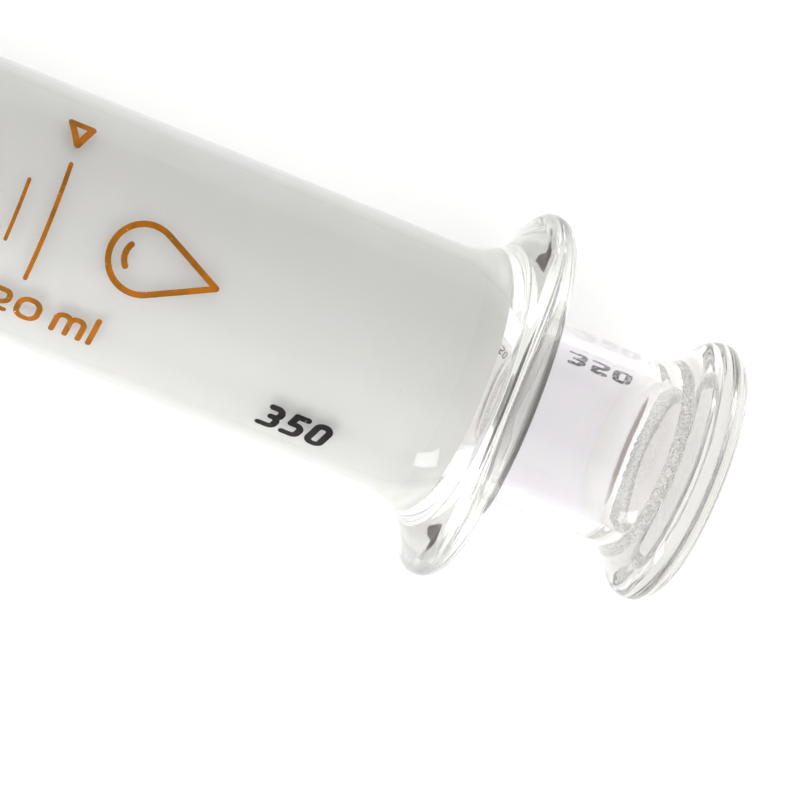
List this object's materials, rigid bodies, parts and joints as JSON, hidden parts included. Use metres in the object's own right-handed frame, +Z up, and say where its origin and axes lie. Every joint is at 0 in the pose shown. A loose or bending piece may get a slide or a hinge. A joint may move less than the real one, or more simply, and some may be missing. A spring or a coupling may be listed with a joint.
{
  "type": "glass oral syringe",
  "caption": "Reusable all-glass dosing syringe: graduated cylindrical barrel with a slip nozzle and round finger flange, and a hollow ground plunger with a flared thumb knob.",
  "frame": {"origin": "on the common axis at the zero plane, the flat front end of the bore, where the plunger's nose rests when it is fully home", "axes": "+X along the common axis from the nozzle towards the thumb knob, +Z up through the middle of the scale, so the syringe lies on its side with the scale on top"},
  "size_m": [0.1361, 0.0344, 0.0344],
  "materials": {
    "barrel_glass": "clear outside, finely ground bore",
    "plunger_glass": "finely ground body, clear neck and knob",
    "amber_enamel": "fired amber enamel",
    "black_enamel": "fired black enamel"
  },
  "bodies": {
    "barrel": {"barrel": "barrel_glass", "major_scale_lines": "amber_enamel", "minor_scale_lines": "amber_enamel", "scale_number_5": "amber_enamel", "scale_number_10": "amber_enamel", "scale_number_15": "amber_enamel", "scale_number_20": "amber_enamel", "index_triangle": "amber_enamel", "drop_emblem": "amber_enamel", "barrel_pairing_number": "black_enamel"},
    "plunger": {"plunger": "plunger_glass", "plunger_pairing_number": "black_enamel"}
  },
  "joints": [
    {"name": "plunger_slide", "type": "slide", "parent": "barrel", "child": "plunger", "axis": [1, 0, 0], "range_m": [0, 0.095]}
  ]
}
